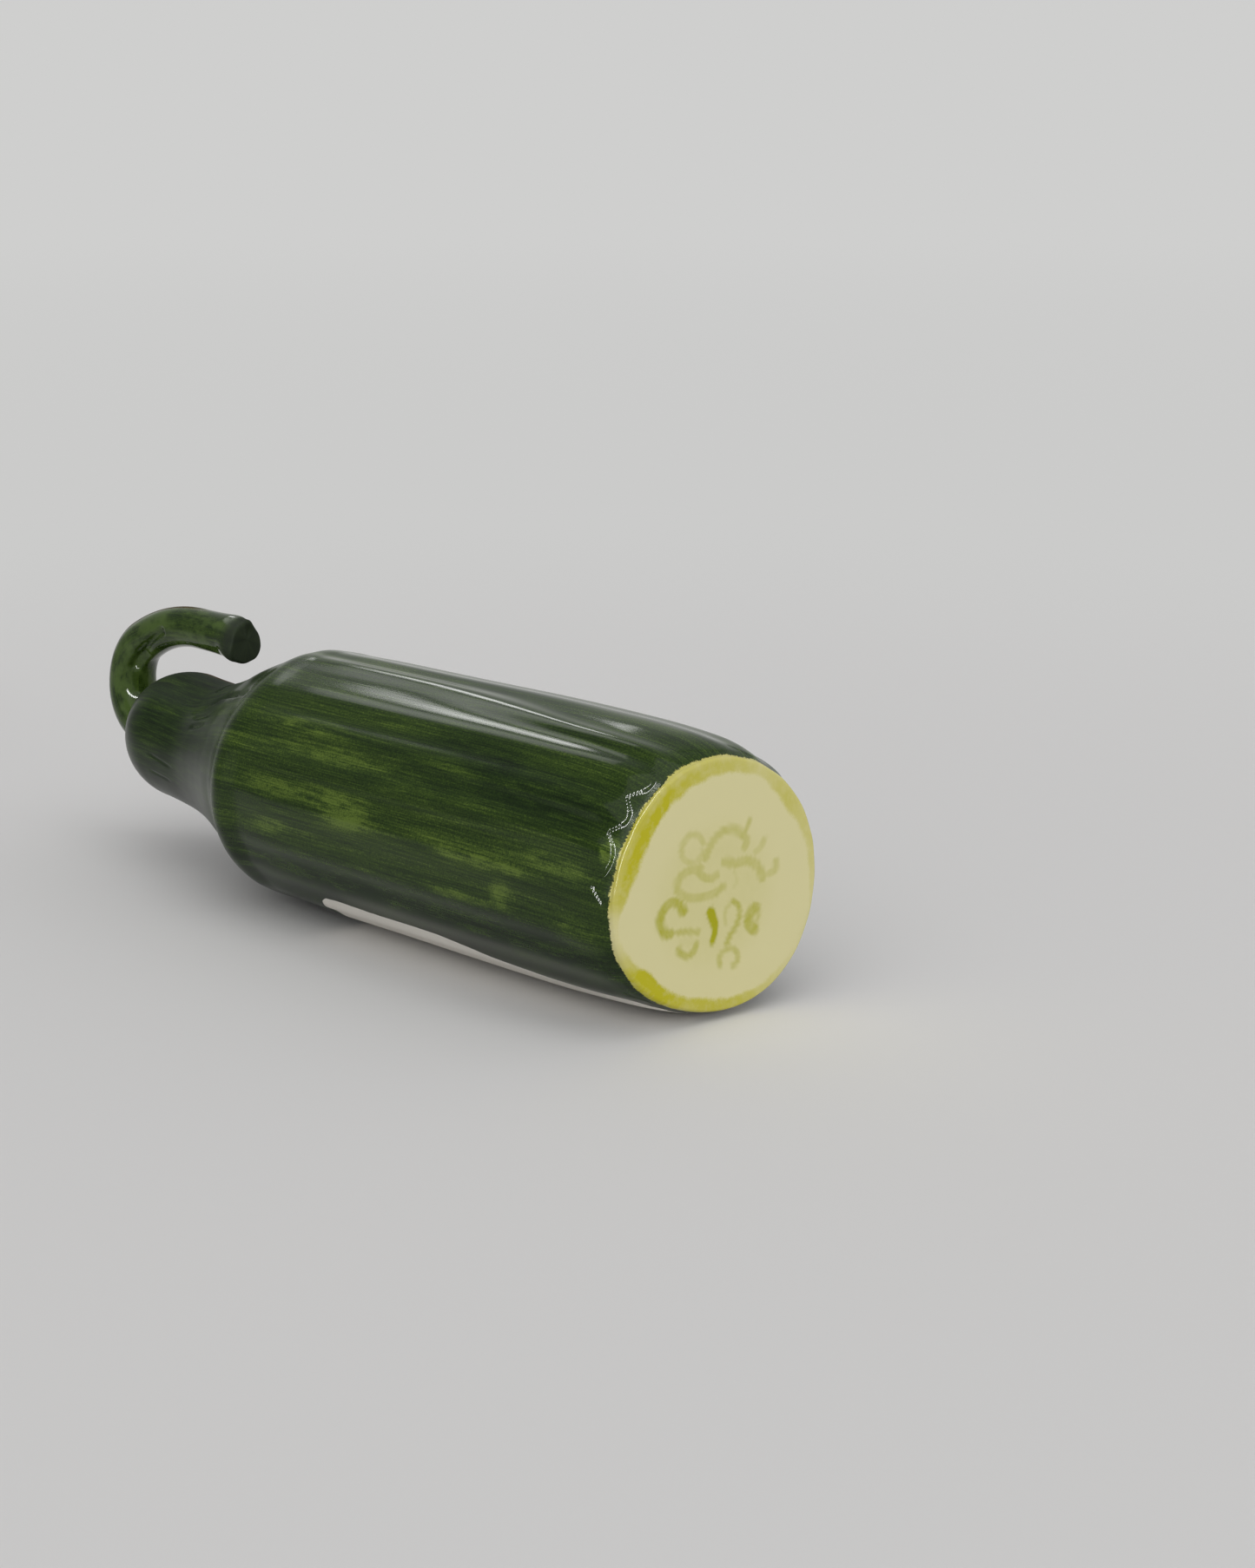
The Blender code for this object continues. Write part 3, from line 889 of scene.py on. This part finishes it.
# Shares of the finish: the strength of each, and the marks and steps that it is multiplied by.
for name, strength, factors in (
    ("thin_and_painted_light", 1.0, ("thin_and_painted_light", "dabs")),
    ("mottle", 1.0, ("stem", "mottle")),
    ("brown_paint", 0.85, ("brown",)),
    ("torn_paint", 0.85, ("torn",)),
    ("ring", 1.1, ("ring", "ring_fade", "ring_strength", "ring_washes")),
    ("seeds", 1.1, ("seeds", "seed_washes")),
):
    share = strength
    for factor in factors:
        inputs = {0: share, 1: finish[factor]}
        share = add_node(tree, "Math", inputs, operation="MULTIPLY").outputs[0]
    finish[name] = share

coat = COAT_START
for name, share in COAT_SHARES.items():
    inputs = {0: finish[name], 1: share, 2: coat}
    coat = add_node(tree, "Math", inputs, operation="MULTIPLY_ADD").outputs[0]
ramp = add_node(tree, "ValToRGB", {"Fac": coat})
first, last = ramp.color_ramp.elements
first.position, first.color = COATS[0]
last.position, last.color = COATS[-1]
for position, green in COATS[1:-1]:
    ramp.color_ramp.elements.new(position).color = green

cut_colour = CREAM
for name, over in (("ring", RING_GREEN), ("seeds", SEED_GREEN)):
    inputs = {0: finish[name], 6: cut_colour, 7: over}
    cut_colour = add_node(tree, "Mix", inputs, data_type="RGBA").outputs[2]
colour = ramp.outputs["Color"]
for name, over in (
    ("mottle", STEM_GREEN),
    ("brown_paint", EDGE_LINE_BROWN),
    ("torn_paint", POOLED_GREEN),
    ("on_cut", cut_colour),
    # Thicker glaze and the painted shadow along the edge of the bare foot.
    ("glaze_lip_and_shadow", POOLED_GREEN),
    ("on_foot", BARE_CLAY),
):
    inputs = {0: finish[name], 6: colour, 7: over}
    colour = add_node(tree, "Mix", inputs, data_type="RGBA").outputs[2]
tree.links.new(colour, shader.inputs["Base Color"])

inputs = {0: finish["on_cut"], 1: CUT_ADDS, 2: GLOSS}
dull = add_node(tree, "Math", inputs, operation="MULTIPLY_ADD").outputs[0]
for name, roughness in DULL_PLACES.items():
    inputs = {0: finish[name], 1: roughness}
    place = add_node(tree, "Math", inputs, operation="MULTIPLY").outputs[0]
    dull = add_node(tree, "Math", {0: dull, 1: place}, operation="MAXIMUM").outputs[0]
tree.links.new(dull, shader.inputs["Roughness"])

inputs = {0: finish["grain"], 1: RELIEF_GRAIN, 2: finish["hairs"]}
relief = add_node(tree, "Math", inputs, operation="MULTIPLY_ADD").outputs[0]
inputs = {"Height": relief, "Strength": RELIEF_STRENGTH, "Distance": RELIEF * MM}
bump = add_node(tree, "Bump", inputs)
tree.links.new(bump.outputs["Normal"], shader.inputs["Normal"])

# Floor
# The floor is a wide sheet of pale matt paper that curves up far off. Near by it takes the soft
# shadows, and further off it glows, so that the backdrop is even and has no horizon.
# From here on sizes are in metres.
FLOOR_RADIUS = 4.0
FLOOR_SIDES = 96
FLOOR_CURVE = 1.6
FLOOR_CURVE_STEPS = 16
FLOOR_NEAR = 0.15
FLOOR_FAR = 0.62
PAPER = linear("e1e0de")
PAPER_ROUGHNESS = 0.9
PAPER_GLOW = linear("cbcbca")
PAPER_GLOW_FAR = linear("cfcfce")
# Off to the left of the camera, out of its view, the paper glows less. The cucumber's side and
# neck mirror it there. Where the dark starts and ends is how far a place is towards that side.
PAPER_DARK_SIDE = (-0.93, -0.37, 0.0)
PAPER_DARK_FROM = 0.78
PAPER_DARK_TO = 0.97
PAPER_DARK_GLOW = 0.40

paper = bmesh.new()
bmesh.ops.create_circle(paper, segments=FLOOR_SIDES, radius=FLOOR_RADIUS, cap_ends=True)
edge_ring = [edge for edge in paper.edges if edge.is_boundary]
for step in range(1, FLOOR_CURVE_STEPS + 1):
    turn = math.pi / 2.0 * step / FLOOR_CURVE_STEPS
    grown = bmesh.ops.extrude_edge_only(paper, edges=edge_ring)["geom"]
    edge_ring = [item for item in grown if isinstance(item, bmesh.types.BMEdge) and item.is_boundary]
    radius = FLOOR_RADIUS + FLOOR_CURVE * math.sin(turn)
    for vert in {vert for edge in edge_ring for vert in edge.verts}:
        out = Vector((vert.co.x, vert.co.y)).normalized() * radius
        vert.co = (out.x, out.y, FLOOR_CURVE * (1.0 - math.cos(turn)))
bmesh.ops.recalc_face_normals(paper, faces=paper.faces)
for face in paper.faces:
    face.smooth = True
floor_data = bpy.data.meshes.new("paper_floor")
paper.to_mesh(floor_data)
paper.free()
floor = bpy.data.objects.new("paper_floor", floor_data)
scene.collection.objects.link(floor)

# Matt paper: it has no sheen at all, so that only the cucumber shines.
pale = bpy.data.materials.new("pale_paper")
pale.use_nodes = True
tree = pale.node_tree
shader = tree.nodes["Principled BSDF"]
shader.inputs["Base Color"].default_value = PAPER
shader.inputs["Roughness"].default_value = PAPER_ROUGHNESS
shader.inputs["Specular IOR Level"].default_value = 0.0
spot = add_node(tree, "TexCoord").outputs["Object"]
distance = add_node(tree, "VectorMath", {0: spot}, operation="LENGTH").outputs["Value"]
towards = add_node(tree, "VectorMath", {0: spot}, operation="NORMALIZE").outputs[0]
inputs = {0: towards, 1: PAPER_DARK_SIDE}
facing = add_node(tree, "VectorMath", inputs, operation="DOT_PRODUCT").outputs["Value"]
steps = {}
for name, source, low, high, before, after in (
    ("far", distance, FLOOR_FAR, FLOOR_RADIUS, 0.0, 1.0),
    ("glow", distance, FLOOR_NEAR, FLOOR_FAR, 0.0, 1.0),
    ("brightness", facing, PAPER_DARK_FROM, PAPER_DARK_TO, 1.0, PAPER_DARK_GLOW),
):
    inputs = {"Value": source, "From Min": low, "From Max": high, "To Min": before, "To Max": after}
    stepped = add_node(tree, "MapRange", inputs, interpolation_type="SMOOTHSTEP")
    steps[name] = stepped.outputs["Result"]
inputs = {0: steps["far"], 6: PAPER_GLOW, 7: PAPER_GLOW_FAR}
glow_colour = add_node(tree, "Mix", inputs, data_type="RGBA").outputs[2]
glow = add_node(tree, "Emission", {"Color": glow_colour, "Strength": steps["brightness"]})
inputs = {0: steps["glow"], 1: shader.outputs["BSDF"], 2: glow.outputs["Emission"]}
both = add_node(tree, "MixShader", inputs)
tree.links.new(both.outputs["Shader"], tree.nodes["Material Output"].inputs["Surface"])
floor_data.materials.append(pale)

# Lights
# Three wide soft lights stand so far off that they light the whole floor alike. Each is given by
# the direction that it comes from, its width in degrees and its strength.
SOFT_LIGHTS = (
    ("overhead_front", (0.30, -0.40, 0.85), 80.0, 0.95),
    ("right_side", (0.90, 0.10, 0.30), 50.0, 0.45),
    ("low_left", (0.50, -0.85, 0.15), 60.0, 0.35),
)
# Five lit panels face the cucumber, show in its gloss and light no floor. Each is given by its
# place, its size along the cucumber and across it, and its radiance.
LIT_PANELS = (
    ("tall_window", (0.38, -0.625, 0.52), (0.09, 1.20), 60.0),
    ("back_softbox", (-1.06, 0.66, 0.885), (0.28, 0.24), 3.0),
    ("back_lamp", (-1.05, 0.65, 0.875), (0.20, 0.13), 3.6),
    ("overhead_softbox", (-0.94, 0.22, 1.04), (0.46, 0.44), 1.1),
    ("overhead_lamp", (-0.93, 0.22, 1.03), (0.36, 0.26), 0.7),
)

for name, towards, width, strength in SOFT_LIGHTS:
    light = bpy.data.lights.new(name, "SUN")
    light.angle = math.radians(width)
    light.energy = strength
    lamp = bpy.data.objects.new(name, light)
    lamp.rotation_euler = Vector(towards).to_track_quat("Z", "Y").to_euler()
    scene.collection.objects.link(lamp)

for name, place, size, radiance in LIT_PANELS:
    light = bpy.data.lights.new(name, "AREA")
    light.shape = "RECTANGLE"
    light.size, light.size_y = size
    light.energy = radiance * math.pi * size[0] * size[1]
    lamp = bpy.data.objects.new(name, light)
    lamp.location = place
    away = lamp.location.normalized()
    along = (Vector((1.0, 0.0, 0.0)) - away.x * away).normalized()
    lamp.rotation_euler = Matrix((along, away.cross(along), away)).transposed().to_euler()
    lamp.visible_diffuse = False
    scene.collection.objects.link(lamp)

# Room
# The room is a plain pale studio, darker to the left of the camera, where the side of the
# cucumber mirrors it. Where the dark starts and ends is how far a direction is towards that side.
ROOM_COLOUR = linear("fcfcff")
ROOM_DARK_SIDE = Vector((-0.60, -0.75, 0.30)).normalized()
ROOM_DARK_FROM = 0.2
ROOM_DARK_TO = 0.85
ROOM_BRIGHTNESS = 0.52
ROOM_DARK_BRIGHTNESS = 0.27

world = bpy.data.worlds.new("room")
world.use_nodes = True
tree = world.node_tree
background = tree.nodes["Background"]
spot = add_node(tree, "TexCoord").outputs["Generated"]
inputs = {0: spot, 1: ROOM_DARK_SIDE}
facing = add_node(tree, "VectorMath", inputs, operation="DOT_PRODUCT").outputs["Value"]
inputs = {
    "Value": facing,
    "From Min": ROOM_DARK_FROM,
    "From Max": ROOM_DARK_TO,
    "To Min": ROOM_BRIGHTNESS,
    "To Max": ROOM_DARK_BRIGHTNESS,
}
brightness = add_node(tree, "MapRange", inputs, interpolation_type="SMOOTHSTEP")
tree.links.new(brightness.outputs["Result"], background.inputs["Strength"])
background.inputs["Color"].default_value = ROOM_COLOUR
scene.world = world
scene.view_settings.view_transform = "Standard"
